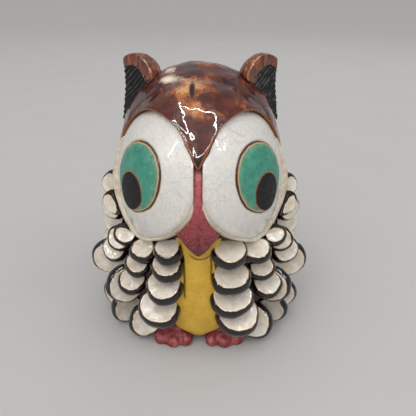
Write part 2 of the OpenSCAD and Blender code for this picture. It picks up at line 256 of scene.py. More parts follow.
# ---- materials ----
class Shade:
    """One material's nodes, with a short name for each kind. Sizes of patterns are in mm."""

    def __init__(self, name, rough=0.4, coat=0.0, coat_rough=0.05, specular=0.5):
        self.mat = bpy.data.materials.new(name)
        self.mat.use_nodes = True
        self.tree = self.mat.node_tree
        self.tree.nodes.clear()
        self.bsdf = self.add("ShaderNodeBsdfPrincipled")
        out = self.add("ShaderNodeOutputMaterial")
        self.tree.links.new(self.bsdf.outputs[0], out.inputs[0])
        for key, v in (
            ("Roughness", rough), ("Coat Weight", coat), ("Coat Roughness", coat_rough),
            ("IOR", 1.5), ("Coat IOR", 1.5), ("Specular IOR Level", specular),
        ):
            self.bsdf.inputs[key].default_value = v
        self.coord = self.add("ShaderNodeTexCoord").outputs["Object"]

    def add(self, kind):
        return self.tree.nodes.new(kind)

    def put(self, socket, v):
        if isinstance(v, bpy.types.NodeSocket):
            self.tree.links.new(v, socket)
        elif isinstance(v, (tuple, list)) and len(v) == 3 and len(socket.default_value) == 4:
            socket.default_value = (*v, 1)
        else:
            socket.default_value = v

    def noise(self, size, detail=3, rough=0.55, coord=None, seed=0.0):
        n = self.add("ShaderNodeTexNoise")
        n.noise_dimensions = "4D"
        self.put(n.inputs["Vector"], coord or self.coord)
        self.put(n.inputs["W"], seed)
        self.put(n.inputs["Scale"], 1 / (size * MM))
        self.put(n.inputs["Detail"], detail)
        self.put(n.inputs["Roughness"], rough)
        return n.outputs["Fac"]

    def cells(self, size, coord):
        """Distance to the nearest edge between cells of that size."""
        n = self.add("ShaderNodeTexVoronoi")
        n.feature = "DISTANCE_TO_EDGE"
        self.put(n.inputs["Vector"], coord)
        self.put(n.inputs["Scale"], 1 / (size * MM))
        return n.outputs["Distance"]

    def ramp(self, fac, *stops):
        n = self.add("ShaderNodeValToRGB")
        e = n.color_ramp.elements
        while len(e) < len(stops):
            e.new(0.5)
        for el, (pos, v) in zip(e, stops):
            el.position = pos
            el.color = (*v, 1) if isinstance(v, tuple) else (v, v, v, 1)
        self.put(n.inputs[0], fac)
        return n.outputs[0]

    def math(self, op, a, b=0.0, clamp=False):
        n = self.add("ShaderNodeMath")
        n.operation = op
        n.use_clamp = clamp
        self.put(n.inputs[0], a)
        self.put(n.inputs[1], b)
        return n.outputs[0]

    def vec(self, op, a, b=None, scale=None):
        n = self.add("ShaderNodeVectorMath")
        n.operation = op
        self.put(n.inputs[0], a)
        if b is not None:
            self.put(n.inputs[1], b)
        if scale is not None:
            self.put(n.inputs["Scale"], scale)
        return n.outputs[0]

    def mix(self, fac, a, b):
        n = self.add("ShaderNodeMix")
        n.data_type = "RGBA"
        self.put(n.inputs[0], fac)
        self.put(n.inputs[6], a)
        self.put(n.inputs[7], b)
        return n.outputs[2]

    def attr(self, name):
        n = self.add("ShaderNodeAttribute")
        n.attribute_name = name
        return n.outputs["Fac"]

    def over(self, base, colour, fac, *stops):
        """One colour laid over another where a value runs through the stops."""
        return self.mix(self.ramp(fac, *stops), base, colour)

    def patchy(self, noise, least, most):
        """A value that changes from patch to patch between two limits."""
        return self.ramp(noise, (0.3, least), (0.7, most))

    def shaken(self, value, noise, amount):
        """A value with noise about 0 added."""
        return self.math("ADD", value, self.math("MULTIPLY", self.math("SUBTRACT", noise, 0.5), amount))

    def warped(self, size, amount):
        """Object coordinates shaken by noise of that size, by amount mm."""
        n = self.add("ShaderNodeTexNoise")
        self.put(n.inputs["Vector"], self.coord)
        self.put(n.inputs["Scale"], 1 / (size * MM))
        self.put(n.inputs["Detail"], 2.0)
        shake = self.vec("SUBTRACT", n.outputs["Color"], (0.5, 0.5, 0.5))
        return self.vec("ADD", self.coord, self.vec("SCALE", shake, scale=amount * MM))

    def near(self, name, wobble=0.3):
        """A distance in mm kept on the mesh, a little wobbly as a hand-cut line is."""
        return self.shaken(self.attr(name), self.noise(2.2, 3, seed=20), wobble * 2)

    def band(self, d, lo, hi, top=20.0):
        """0 below lo mm and 1 above hi mm, or the other way round where hi is the smaller."""
        a, b = (0.0, 1.0) if lo < hi else (1.0, 0.0)
        return self.ramp(self.math("DIVIDE", d, top), (min(lo, hi) / top, a), (max(lo, hi) / top, b))

    def bump(self, height, depth, strength):
        n = self.add("ShaderNodeBump")
        self.put(n.inputs["Strength"], strength)
        self.put(n.inputs["Distance"], depth * MM)
        self.put(n.inputs["Height"], height)
        return n.outputs[0]

    def done(self, colour, rough=None, normal=None, coat_normal=None):
        self.put(self.bsdf.inputs["Base Color"], colour)
        if rough is not None:
            self.put(self.bsdf.inputs["Roughness"], rough)
        if normal is not None:
            self.put(self.bsdf.inputs["Normal"], normal)
            self.put(self.bsdf.inputs["Coat Normal"], coat_normal or normal)
        return self.mat


def lin(r, g, b):
    """sRGB 0-255 to linear."""
    return tuple(
        ((c / 255 + 0.055) / 1.055) ** 2.4 if c > 10 else c / 255 / 12.92 for c in (r, g, b)
    )


RUST = lin(140, 78, 38)


def crackle(s, size, warp):
    """Fine crackle lines: 1 on a line, 0 between, some lines stronger than others."""
    fine = s.cells(size, s.warped(size * 1.6, warp))
    fine = s.ramp(fine, (0.0, 1.0), (0.055, 0.0))
    big = s.cells(size * 3.6, s.warped(size * 2.4, warp * 1.5))
    big = s.ramp(big, (0.0, 1.0), (0.016, 0.0))
    where = s.ramp(s.noise(9, 2, seed=3), (0.35, 0.4), (0.65, 1.0))
    return s.math("MULTIPLY", s.math("MAXIMUM", s.math("MULTIPLY", fine, 0.75), big), where)


def dome_material():
    s = Shade("white_crackle_glaze", rough=0.34, coat=0.6, coat_rough=0.03)
    lines = crackle(s, 2.0, 1.0)
    base = s.over(lin(206, 205, 201), lin(214, 208, 198), s.noise(7, 4), (0.35, 0.0), (0.7, 1.0))
    base = s.over(base, lin(190, 184, 174), s.noise(1.3, 4, seed=5), (0.55, 0.0), (0.8, 0.35))
    base = s.mix(s.math("MULTIPLY", lines, 0.5), base, lin(112, 104, 98))
    d = s.near("di")
    stain = s.math("MULTIPLY", s.band(d, iris_r + 1.3, iris_r + 0.4), 0.5)
    base = s.mix(stain, base, lin(170, 136, 96))
    base = s.mix(s.band(d, iris_r + 0.6, iris_r + 0.35), base, lin(62, 38, 26))
    edge = s.band(s.near("dr", 0.6), rim_r - 1.6, rim_r - 0.2, 30.0)
    edge = s.math("MULTIPLY", edge, s.ramp(s.noise(2.4, 3, seed=9), (0.4, 0.2), (0.65, 1.0)))
    base = s.mix(s.math("MULTIPLY", edge, 0.55), base, lin(186, 166, 136))
    height = s.math("SUBTRACT", s.math("MULTIPLY", s.noise(2.5, 4, seed=2), 0.35), lines)
    return s.done(
        base,
        rough=s.patchy(s.noise(5, 3, seed=4), 0.22, 0.4),
        normal=s.bump(height, 0.06, 0.5),
        coat_normal=s.bump(s.noise(4, 2, seed=2), 0.15, 0.5),
    )


def ledge_material():
    s = Shade("cream_glaze", rough=0.3, coat=0.6, coat_rough=0.1)
    base = s.over(lin(214, 208, 192), lin(190, 168, 136), s.noise(3, 4), (0.4, 0.0), (0.7, 1.0))
    base = s.over(base, RUST, s.noise(1.0, 3, seed=2), (0.57, 0.0), (0.7, 0.6))
    base = s.mix(s.math("MULTIPLY", crackle(s, 1.6, 0.6), 0.25), base, lin(110, 90, 70))
    return s.done(base, normal=s.bump(s.noise(1.2, 4), 0.12, 0.6))


def iris_material():
    s = Shade("teal_glaze", rough=0.5, coat=0.15, coat_rough=0.3)
    base = s.over(lin(34, 118, 98), lin(66, 146, 124), s.noise(4, 5, 0.65), (0.35, 0.0), (0.68, 1.0))
    base = s.over(base, lin(140, 172, 144), s.noise(0.7, 3, seed=3), (0.58, 0.0), (0.72, 0.6))
    base = s.over(base, lin(20, 88, 76), s.noise(1.8, 4, seed=6), (0.58, 0.0), (0.75, 0.55))
    d = s.near("di")
    fade = s.math("MULTIPLY", s.band(d, iris_r - 3.2, iris_r - 0.6), 0.35)
    worn = s.ramp(s.noise(3, 3, seed=12), (0.4, 0.0), (0.6, 1.0))
    base = s.mix(s.math("MULTIPLY", fade, worn), base, lin(176, 168, 130))
    base = s.mix(s.band(d, iris_r - 0.75, iris_r - 0.5), base, lin(188, 146, 100))
    base = s.mix(s.band(d, iris_r - 0.3, iris_r - 0.1), base, lin(70, 44, 30))
    base = s.mix(s.band(s.near("dp"), pupil_r + 0.65, pupil_r + 0.4), base, lin(176, 122, 76))
    return s.done(
        base,
        rough=s.patchy(s.noise(2, 3, seed=8), 0.4, 0.6),
        normal=s.bump(s.noise(0.9, 4, seed=1), 0.06, 0.5),
    )


def pupil_material():
    s = Shade("black_slip", rough=0.6, specular=0.25)
    base = s.mix(s.noise(1.2, 4), lin(12, 12, 14), lin(30, 29, 31))
    base = s.mix(s.band(s.near("dp", 0.15), pupil_r - 0.1, pupil_r + 0.05), base, lin(150, 100, 64))
    return s.done(
        base,
        rough=s.patchy(s.noise(1.5, 3), 0.45, 0.75),
        normal=s.bump(s.noise(0.5, 4, seed=1), 0.08, 0.6),
    )


def brown_material():
    s = Shade("brown_glaze", rough=0.4, coat=0.9, coat_rough=0.03, specular=0.15)
    base = s.over(lin(38, 14, 11), lin(92, 38, 20), s.noise(6, 5, 0.6), (0.36, 0.0), (0.62, 1.0))
    base = s.over(base, lin(78, 44, 46), s.noise(11, 3, seed=4), (0.48, 0.0), (0.62, 0.4))
    fine = s.noise(1.5, 5, 0.7, seed=2)
    # tan is the glaze's own tan, with less of it on the left of the brow where shade is painted
    tan_and_shade = s.shaken(s.attr("tan_and_shade"), fine, 1.3)
    base = s.over(base, lin(150, 86, 46), tan_and_shade, (0.32, 0.0), (0.62, 1.0))
    base = s.over(base, lin(194, 144, 90), tan_and_shade, (0.62, 0.0), (0.95, 1.0))
    # cream is the glaze's own cream under the slit, and painted highlight on the crown's upper left and on
    # lump tops at the front
    cream_and_highlight = s.shaken(s.attr("cream_and_highlight"), fine, 0.7)
    base = s.over(base, lin(222, 204, 180), cream_and_highlight, (0.35, 0.0), (0.7, 1.0))
    dark = s.shaken(s.attr("dark"), fine, 0.5)
    base = s.over(base, lin(34, 14, 14), dark, (0.35, 0.0), (0.65, 1.0))
    speck = s.ramp(s.noise(0.9, 3, seed=13), (0.54, 0.0), (0.64, 0.75))
    speck = s.math("MULTIPLY", speck, s.ramp(tan_and_shade, (0.4, 0.0), (0.7, 1.0)))
    base = s.mix(speck, base, lin(72, 30, 16))
    edge = s.shaken(s.attr("edge"), fine, 0.6)
    base = s.over(base, lin(150, 84, 44), edge, (0.5, 0.0), (0.85, 0.8))
    height = s.math("ADD", s.noise(3.5, 4, 0.5, seed=7), s.math("MULTIPLY", s.noise(1.0, 3, seed=1), 0.12))
    return s.done(
        base,
        rough=s.patchy(s.noise(4, 3, seed=5), 0.2, 0.4),
        normal=s.bump(height, 0.5, 0.55),
        coat_normal=s.bump(s.noise(4.5, 2, seed=7), 0.3, 0.5),
    )


def ear_material():
    s = Shade("ear_glaze", rough=0.36, coat=0.5, coat_rough=0.12)
    tall = s.add("ShaderNodeMapping")
    s.put(tall.inputs["Vector"], s.coord)
    tall.inputs["Scale"].default_value = (1, 1, 0.28)
    streak = s.noise(1.6, 5, 0.6, coord=tall.outputs[0])
    base = s.over(lin(56, 26, 18), lin(130, 66, 34), streak, (0.38, 0.0), (0.58, 1.0))
    base = s.over(base, lin(196, 116, 60), streak, (0.56, 0.0), (0.74, 1.0))
    base = s.over(base, lin(86, 54, 52), s.noise(5, 3, seed=3), (0.5, 0.0), (0.66, 0.7))
    edge = s.shaken(s.attr("edge"), s.noise(1.2, 4, seed=5), 0.9)
    base = s.over(base, lin(188, 118, 66), edge, (0.45, 0.0), (0.75, 0.9))
    return s.done(base, normal=s.bump(s.noise(1.4, 5, coord=tall.outputs[0], seed=2), 0.35, 0.6))


def pad_material():
    s = Shade("black_pad_slip", rough=0.55, specular=0.3)
    base = s.mix(s.noise(1.5, 4), lin(12, 12, 13), lin(34, 33, 33))
    # painted highlight: the tops of the ridges are lighter grey
    base = s.over(base, lin(78, 74, 70), s.attr("h"), (0.62, 0.0), (0.95, 0.55))
    return s.done(base, normal=s.bump(s.noise(0.5, 4), 0.15, 0.7))


def beak_material():
    s = Shade("rose_glaze", rough=0.45, coat=0.1, coat_rough=0.25, specular=0.3)
    # up runs from 0 low on the beak to 1 near the top of its ridge; the colours along it are painted shade,
    # darkest low on the beak and lighter towards the top
    z = s.add("ShaderNodeSeparateXYZ")
    s.put(z.inputs[0], s.warped(4, 3.0))
    up = s.math("DIVIDE", s.math("SUBTRACT", z.outputs[2], 0.050), 0.036, clamp=True)
    base = s.ramp(
        up,
        (0.0, lin(72, 22, 32)),
        (0.18, lin(106, 35, 43)),
        (0.42, lin(144, 56, 62)),
        (0.8, lin(162, 74, 78)),
    )
    base = s.over(base, lin(182, 104, 104), s.noise(0.8, 5, 0.7), (0.45, 0.0), (0.7, 0.75))
    base = s.over(base, lin(92, 32, 42), s.noise(1.6, 4, seed=3), (0.52, 0.0), (0.7, 0.7))
    # painted shade in the crease low on the beak, with one real dark speck in the glaze
    base = s.mix(s.math("MULTIPLY", s.attr("dark"), 0.7), base, lin(50, 18, 24))
    return s.done(
        base,
        rough=s.patchy(s.noise(2, 3, seed=6), 0.34, 0.55),
        normal=s.bump(s.noise(0.7, 5), 0.1, 0.6),
    )


def belly_material():
    s = Shade("mustard_glaze", rough=0.42, coat=0.2, coat_rough=0.2, specular=0.3)
    base = s.over(lin(192, 150, 46), lin(206, 166, 62), s.noise(7, 4), (0.35, 0.0), (0.65, 1.0))
    base = s.over(base, lin(160, 118, 40), s.noise(1.2, 4, seed=2), (0.56, 0.0), (0.74, 0.6))
    base = s.over(base, lin(226, 200, 120), s.noise(0.6, 3, seed=4), (0.64, 0.0), (0.74, 0.6))
    base = s.mix(s.attr("cut"), base, lin(66, 48, 22))
    base = s.mix(s.math("MULTIPLY", s.attr("edge"), 0.7), base, lin(150, 98, 44))
    base = s.mix(s.math("MULTIPLY", crackle(s, 2.6, 1.0), 0.2), base, lin(90, 66, 30))
    return s.done(base, normal=s.bump(s.noise(1.1, 5), 0.1, 0.6))


def foot_material():
    s = Shade("crimson_glaze", rough=0.5, coat=0.12, coat_rough=0.2, specular=0.3)
    base = s.over(lin(104, 34, 40), lin(150, 66, 66), s.noise(2.5, 4), (0.38, 0.0), (0.62, 1.0))
    high = s.shaken(s.attr("h"), s.noise(0.9, 4, seed=3), 0.9)
    # painted highlight on the tops of the lumps, and painted shade in the hollows between them
    base = s.over(base, lin(188, 124, 102), high, (0.58, 0.0), (0.9, 0.55))
    base = s.over(base, lin(62, 26, 26), high, (0.0, 0.9), (0.3, 0.0))
    base = s.over(base, lin(150, 104, 70), s.attr("clay"), (0.3, 0.0), (0.8, 0.85))
    return s.done(base, normal=s.bump(s.noise(1.0, 5), 0.2, 0.7))


def feather_material():
    s = Shade("feather_glaze", rough=0.34, coat=0.7, coat_rough=0.06, specular=0.3)
    u = s.shaken(s.attr("u"), s.noise(1.4, 4, 0.6), 0.5)
    face = s.over(lin(224, 218, 208), lin(202, 188, 168), s.noise(3.5, 4, seed=2), (0.38, 0.0), (0.66, 1.0))
    face = s.over(face, lin(176, 152, 124), s.noise(1.0, 4, seed=4), (0.58, 0.0), (0.78, 0.5))
    face = s.mix(s.math("MULTIPLY", s.attr("pool"), 0.35), face, lin(168, 150, 128))
    face = s.mix(s.math("MULTIPLY", crackle(s, 1.8, 0.8), 0.2), face, lin(120, 100, 84))
    side = s.over(lin(11, 10, 11), lin(32, 26, 23), s.noise(2.5, 4, seed=6), (0.5, 0.0), (0.75, 0.6))
    side = s.over(side, lin(120, 76, 46), s.noise(0.8, 4, seed=8), (0.68, 0.0), (0.78, 0.5))
    lip = s.ramp(
        s.noise(1.8, 3, seed=5),
        (0.4, lin(206, 188, 164)),
        (0.54, lin(184, 130, 80)),
        (0.68, lin(120, 68, 34)),
    )
    base = s.mix(s.ramp(u, (0.36, 0.0), (0.46, 1.0)), face, lip)
    base = s.over(base, side, u, (0.54, 0.0), (0.62, 1.0))
    rough = s.patchy(s.noise(2, 3, seed=7), 0.14, 0.32)
    return s.done(base, rough=rough, normal=s.bump(s.noise(1.6, 4, seed=9), 0.16, 0.6))


def body_material():
    s = Shade("dark_slip", rough=0.55, coat=0.1, coat_rough=0.3)
    base = s.mix(s.noise(4, 5), lin(22, 18, 17), lin(60, 42, 34))
    base = s.over(base, lin(110, 72, 48), s.noise(1.5, 4, seed=2), (0.6, 0.0), (0.75, 0.7))
    return s.done(base, normal=s.bump(s.noise(1.2, 5), 0.3, 0.7))


def clay_material():
    s = Shade("bare_clay", rough=0.85)
    base = s.mix(s.noise(3, 5, 0.65), lin(150, 108, 78), lin(184, 146, 112))
    base = s.over(base, lin(96, 64, 46), s.noise(0.5, 3, seed=2), (0.62, 0.0), (0.7, 0.6))
    return s.done(
        base,
        rough=s.patchy(s.noise(1, 3), 0.75, 0.95),
        normal=s.bump(s.noise(0.5, 5), 0.2, 0.7),
    )


# ---- base and body ----
clay = clay_material()
slab = nodes["base_slab"]
if not slab.material_slots:
    slab.data.materials.append(clay)
for s_ in slab.material_slots:
    s_.material = clay


def skin_r(z):
    """Radius of the body's outside at a height."""
    if z < body_turn:
        return turn_x + math.sqrt(body_turn**2 - (body_turn - z) ** 2)
    if z > body_h:
        return head_r
    return body_r + (head_r - body_r) * (z - body_turn) / (body_h - body_turn)


def make_body():
    top = box_mm("body_bowl")[1][2]
    count = 160
    a = np.linspace(0, 2 * np.pi, count, endpoint=False)
    inner = 0.75 * body_r
    prof = [(inner, top), (head_r - 1.2, top)]
    prof += [(skin_r(z) - 0.15, z) for z in np.linspace(top - 1, base_t, 46)]
    prof += [(inner * 0.6, base_t - 0.01)]
    rings = np.array([[[r * c, r * s, z] for c, s in zip(np.cos(a), np.sin(a))] for r, z in prof])
    verts, faces = rings_to_shell(rings)
    out = verts * np.array([1, 1, 0])
    out /= np.maximum(np.linalg.norm(out, axis=1), 1e-6)[:, None]
    verts = verts - out * (0.25 * (1 + lump(verts, 9, 1)) + 0.12 * lump(verts, 3, 2))[:, None]
    return piece("body", mesh_of(verts, faces), body_material(), "dark_slip", "body_bowl")


make_body()


# ---- head ----
def eye_frame(side):
    m = aim(eye_az, eye_el) * np.array([[side], [1], [1]])
    return m, eye_c * np.array([side, 1, 1])


def wrap(q, back=False):
    """The eye wraps round the head: points of its own frame turn outwards the lower they are."""
    y = q[:, 1]
    low = 8 * np.clip((-y - 8) / 18, 0, 1) ** 1.3
    t = np.radians(3.5 * np.clip((14 - y) / 26, 0, 1) - 1.8 + low)
    if back:
        x, z = q[:, 0], q[:, 2] - 0.12 * low
        return np.stack([x * np.cos(t) - z * np.sin(t), y, x * np.sin(t) + z * np.cos(t)], 1)
    x, z = q[:, 0], q[:, 2]
    return np.stack([x * np.cos(t) + z * np.sin(t), y, z * np.cos(t) - x * np.sin(t) + 0.12 * low], 1)


def off_axis(q, direction):
    """Distance of eye-frame points from the line through the eye ball's centre in a direction."""
    u = aim(eye_az, eye_el).T @ aim(*direction)[:, 2]
    return np.linalg.norm(np.cross(q, u), axis=1)


def ledge_out(a):
    """Radius of the ledge's outer edge round the eye's axis: broad below and outside, thin at the beak."""
    at = (-180, -135, -90, -55, -25, 0, 30, 60, 150, 180)
    wide = (0.6, 0.5, 1.9, 3.5, 5.0, 3.0, 0.3, 0.1, 0.3, 0.6)
    return rim_r + np.interp(np.degrees(np.arctan2(np.sin(a), np.cos(a))), at, wide)


def brow_tongue():
    """The pointed end of the brow between the eyes."""
    tip_z, wide_z = body_h + 27.4, body_h + 42
    brow_ball_r, ball_y, ball_z = head_r - 2, -13, body_h + 0.35 * head_h
    rings = []
    for z in np.linspace(tip_z, wide_z, 30):
        half = 0.9 + 0.56 * (z - tip_z)
        proud = 1.0 - 0.9 * step(z, tip_z + 5, wide_z - 2)
        line = []
        for t in np.linspace(-1, 1, 17):
            x = half * t
            y = ball_y - math.sqrt((brow_ball_r + proud) ** 2 - (z - ball_z) ** 2 - x * x) + 0.6 * abs(t) ** 4
            line.append([x, y, z])
        line += [[half, line[-1][1] + 9, z], [-half, line[0][1] + 9, z]]
        rings.append(line)
    verts, faces = rings_to_shell(np.array(rings))
    return mesh_of(verts, faces)


def make_head():
    me = remade("head_bowl", 0.5, 5, brow_tongue())
    p, n = coords(me), normals(me)
    high = lump(p, 10, 3)
    mid = lump(p, 5, 4)
    top = step(p[:, 2], 62, 74)
    rise = (0.45 * high + 0.25 * mid) * top
    slit_c = (-2.5, -23, 108.4)
    slit = spot(p, slit_c, (1.25, 6, 4.8))
    hollow = spot(p, (0, -38, 101), (7, 8, 9))
    rise += 0.9 * spot(p, (-3, -24, 106), (9, 9, 6)) - 1.6 * slit - 0.6 * hollow
    rise += 0.7 * spot(p, (-17, -14, 112), (6, 5, 3.5)) + 0.6 * spot(p, (16, -22, 106), (5, 5, 5))
    outside = step(np.linalg.norm(p - np.array([0, 0, 82]), axis=1), 29, 33)
    edge = np.zeros(len(p))
    for side in (-1, 1):
        m, c = eye_frame(side)
        q = (p - c) @ m
        r = np.hypot(q[:, 0] - socket_off[0], q[:, 1] - socket_off[1])
        near = np.exp(-(((r - ledge_r - 0.1) / 0.5) ** 2)) * step(q[:, 2], seat_d - 2, seat_d + 1)
        edge = np.maximum(edge, near)
    q = p + n * (rise * outside * (1 - 0.8 * edge))[:, None]
    temple = step(np.abs(p[:, 0]), 18, 32) * step(p[:, 2], 80, 92) * step(-p[:, 2], -112, -100)
    q[:, 0] -= np.sign(q[:, 0]) * 0.9 * temple
    set_coords(me, q)
    front = step(-p[:, 1], -5, 20)
    tan_and_shade = 0.06 + 0.5 * high * top + 0.3 * mid
    # the spot at (-12, -30, 99) with a share of -1.0 is painted shade on the left of the brow; the other
    # spots are the glaze's own tan
    for share, at, size in (
        (1.05, (-2.6, -28, 103), (5.5, 14, 12)),
        (-1.0, (-12, -30, 99), (6, 8, 7)),
        (0.35, (0, -2, 117), (14, 12, 4)),
        (0.7, (11, -29, 99), (5, 6, 6)),
        (0.3, (12, -8, 112), (9, 8, 5)),
        (-0.5, (0, -40, 98), (7, 9, 9)),
    ):
        tan_and_shade += share * spot(p, at, size)
    # cream on the crown's upper left and on the lump tops at the front is painted highlight; the patch at
    # (-3, -26, 103) under the slit is the glaze's own cream
    cream_and_highlight = 0.9 * spot(p, (-14, -14, 112.6), (6, 5, 2.2)) + 0.85 * spot(p, (-3, -26, 103), (5, 9, 2.4))
    cream_and_highlight += 0.3 * spot(p, (-3, -16, 112.5), (5, 6, 2))
    cream_and_highlight += 0.6 * spot(p, (-12, -5, 114.6), (6, 4, 1.6)) + 0.25 * front * np.clip(high, 0, 1)
    dark = 1.3 * slit + 0.9 * spot(p, (0, -45, 88.5), (4, 6, 3.5)) + 0.5 * spot(p, (0, -38, 95), (5, 8, 8))
    finish_mesh(me, {"tan_and_shade": tan_and_shade, "cream_and_highlight": cream_and_highlight, "dark": dark, "edge": edge})
    return piece("head", me, brown_material(), "brown_glaze", "head_bowl")


make_head()


# ---- eyes ----
def place_eye(q, side, rough, seed):
    """Eye-frame points to the owl, with a little unevenness along the ball's radius."""
    m, c = eye_frame(1)
    out = q / np.linalg.norm(q, axis=1)[:, None]
    ids = q * np.array([side, 1, 1]) + 50
    q = q + out * (rough * (lump(ids, 8, seed) + 0.4 * lump(ids, 3, seed + 1)))[:, None]
    verts = wrap(q) @ m.T + c
    verts[:, 0] = np.maximum(verts[:, 0], ridge_w / 2 - 0.3)
    return verts * np.array([side, 1, 1])


def ring(a, r, b):
    """Points round the eye's axis, r from the eye ball's centre and b radians off the axis."""
    return [[r * math.sin(b) * x, r * math.sin(b) * y, r * math.cos(b)] for x, y in zip(np.cos(a), np.sin(a))]


def lens(direction, r, low, proud, count, steps):
    """A thin inlay on the eye ball, in the eye frame: rounded at its edge, closed below."""
    m = aim(eye_az, eye_el).T @ aim(*direction)
    a = np.linspace(0, 2 * np.pi, count, endpoint=False)
    prof = [(r * t, eye_r + proud) for t in np.linspace(0.03, 0.965, steps)]
    prof += [
        (r * 0.988, eye_r + proud * 0.8 - 0.03),
        (r, eye_r + proud * 0.3 - 0.14),
        (r, eye_r - low * 0.6),
        (r * 0.97, eye_r - low),
        (r * 0.4, eye_r - low),
    ]
    rings = [ring(a, rad, math.asin(rr / eye_r)) for rr, rad in prof]
    verts, faces = rings_to_shell(np.array(rings))
    return verts @ m.T, faces


def make_eye(side):
    word = "right" if side > 0 else "left"
    a = np.linspace(0, 2 * np.pi, 320, endpoint=False)
    rim_b = math.asin(rim_r / eye_r)
    rings = [ring(a, eye_r, b) for b in np.linspace(0.012, rim_b - 0.025, 100)]
    for r, d in (
        (rim_r - 0.3, rim_d - 0.05),
        (rim_r - 0.08, rim_d - 0.35),
        (rim_r, rim_d - 0.9),
        (rim_r, rim_d - 2),
        (rim_r, seat_d - 3),
        (rim_r * 0.7, seat_d - 3),
    ):
        rings.append([[r * x, r * y, d] for x, y in zip(np.cos(a), np.sin(a))])
    q, faces = rings_to_shell(np.array(rings))
    dist = np.linalg.norm(q, axis=1)
    di, dr = off_axis(q, iris_dir), np.hypot(q[:, 0], q[:, 1])
    dip = 0.5 * np.exp(-(((di - iris_r - 0.3) / 0.36) ** 2)) + 0.45 * step(-di, -iris_r - 0.1, -iris_r + 0.4)
    on_ball = step(dist, eye_r - 0.6, eye_r - 0.1)
    q = q * (1 - dip * on_ball / dist)[:, None]
    me = mesh_of(place_eye(q, side, 0.12, 7), faces, {"di": di, "dr": dr})
    piece(word + "_eye", me, DOME_MAT, "white_crackle_glaze", word + "_eye_dome")
    q, faces = lens(iris_dir, iris_r, 0.9, 0.1, 160, 48)
    dp = off_axis(q, pupil_dir)
    dip = 0.4 * np.exp(-(((dp - pupil_r - 0.15) / 0.36) ** 2)) + 0.3 * step(-dp, -pupil_r, -pupil_r + 0.4)
    di = off_axis(q, iris_dir)
    q = q * (1 - dip / eye_r)[:, None]
    me = mesh_of(place_eye(q, side, 0.07, 5), faces, {"di": di, "dp": dp})
    piece(word + "_iris_disc", me, IRIS_MAT, "teal_glaze", word + "_iris")
    q, faces = lens(pupil_dir, pupil_r, 0.9, 0.16, 120, 30)
    me = mesh_of(place_eye(q, side, 0.07, 5), faces, {"dp": off_axis(q, pupil_dir)})
    piece(word + "_pupil_disc", me, PUPIL_MAT, "black_slip", word + "_pupil")


def make_ledge(side):
    word = "right" if side > 0 else "left"
    a = np.linspace(0, 2 * np.pi, 320, endpoint=False)
    outer = ledge_out(a)
    inner = np.full_like(outer, rim_r - 0.4)
    wide = outer - inner
    top = seat_d + ledge_t - 0.2 - 2.4 * (1 - step(wide, 0.7, 1.6))
    base = seat_d - 2.5
    prof = [(0, None), (0, 0.9), (0.08, 0.4), (0.25, 0.12), (0.5, 0.0)]
    prof += [(0.75, 0.14), (0.92, 0.5), (1.0, 1.1), (1.0, 2.4), (1.0, None)]
    rings = []
    for share, drop in prof:
        d = np.full_like(a, base) if drop is None else top - drop
        r = inner + wide * share
        d = d + (0 if drop is None else 0.6 * share * np.maximum(wide - 2.2, 0))
        rings.append(np.stack([r * np.cos(a), r * np.sin(a), d], 1))
    rings = np.array(rings)
    n, k, _ = rings.shape
    faces = []
    for i in range(n):
        j = (i + 1) % n
        for b in range(k):
            e = (b + 1) % k
            faces.append((i * k + b, i * k + e, j * k + e, j * k + b))
    verts = place_eye(rings.reshape(-1, 3), side, 0.22, 9)
    piece(word + "_ledge", mesh_of(verts, faces), CREAM_MAT, "cream_glaze", word + "_eye_ledge")


DOME_MAT = dome_material()
IRIS_MAT = iris_material()
PUPIL_MAT = pupil_material()
CREAM_MAT = ledge_material()
for side in (-1, 1):
    make_eye(side)
    make_ledge(side)


# ---- beak, belly, feet ----
def make_beak():
    lo, hi = box_mm("beak")
    tip, top, corner = lo[2] - 1.3, hi[2] + 1.5, body_h + 0.9
    ball_z, ball_r = body_h + 0.15 * head_h, 46.6
    half_at = [(tip, 0.5), (tip + 1.2, 1.7), (corner - 1.3, 8.1), (corner, 8.9), (corner + 1.6, 8.0)]
    half_at += [(corner + 5, 5.9), (corner + 9, 4.6), (corner + 13, 3.6), (corner + 18, 3.2), (top, 3.2)]
    rings = []
    across = np.linspace(-1, 1, 41)
    for z in np.linspace(tip, top, 96):
        half = float(np.interp(z, *zip(*half_at)))
        line = []
        for t in across:
            x = half * t
            soft = math.sqrt(x * x + 1.2) - 1.1
            y = -math.sqrt(ball_r**2 - (z - ball_z) ** 2) + 0.36 * soft + 0.9 * abs(t) ** 7
            y += 1.4 * (1 - step(z, tip, tip + 3.5))
            y -= 1.9 * step(z, body_h + 2, body_h + 13) * (1 - step(z, top - 6, top))
            line.append([x, y, z])
        depth = 8 if z > corner - 3 else 8 - 4.5 * (corner - 3 - z) / (corner - 3 - tip)
        first, last = line[0][1], line[-1][1]
        line += [[half * 0.98, last + 1.2, z], [half * 0.9, last + depth, z]]
        line += [[-half * 0.9, first + depth, z], [-half * 0.98, first + 1.2, z]]
        rings.append(line)
    verts, faces = rings_to_shell(np.array(rings))
    low = step(-verts[:, 2], -68, -56)
    # the crease is a shallow groove low on the beak, also painted darker as shade; speck is a real dark speck
    crease = np.exp(-((verts[:, 0] / 0.8) ** 2)) * low
    speck = spot(verts, (3.4, -44.5, 57.5), (0.5, 5, 0.55))
    verts[:, 1] -= 0.14 * lump(verts, 6, 11) + 0.06 * lump(verts, 2, 12) - 0.3 * crease - 0.4 * speck
    me = mesh_of(verts, faces, {"dark": np.clip(0.45 * crease + speck, 0, 1)})
    return piece("beak_piece", me, beak_material(), "rose_glaze", "beak")


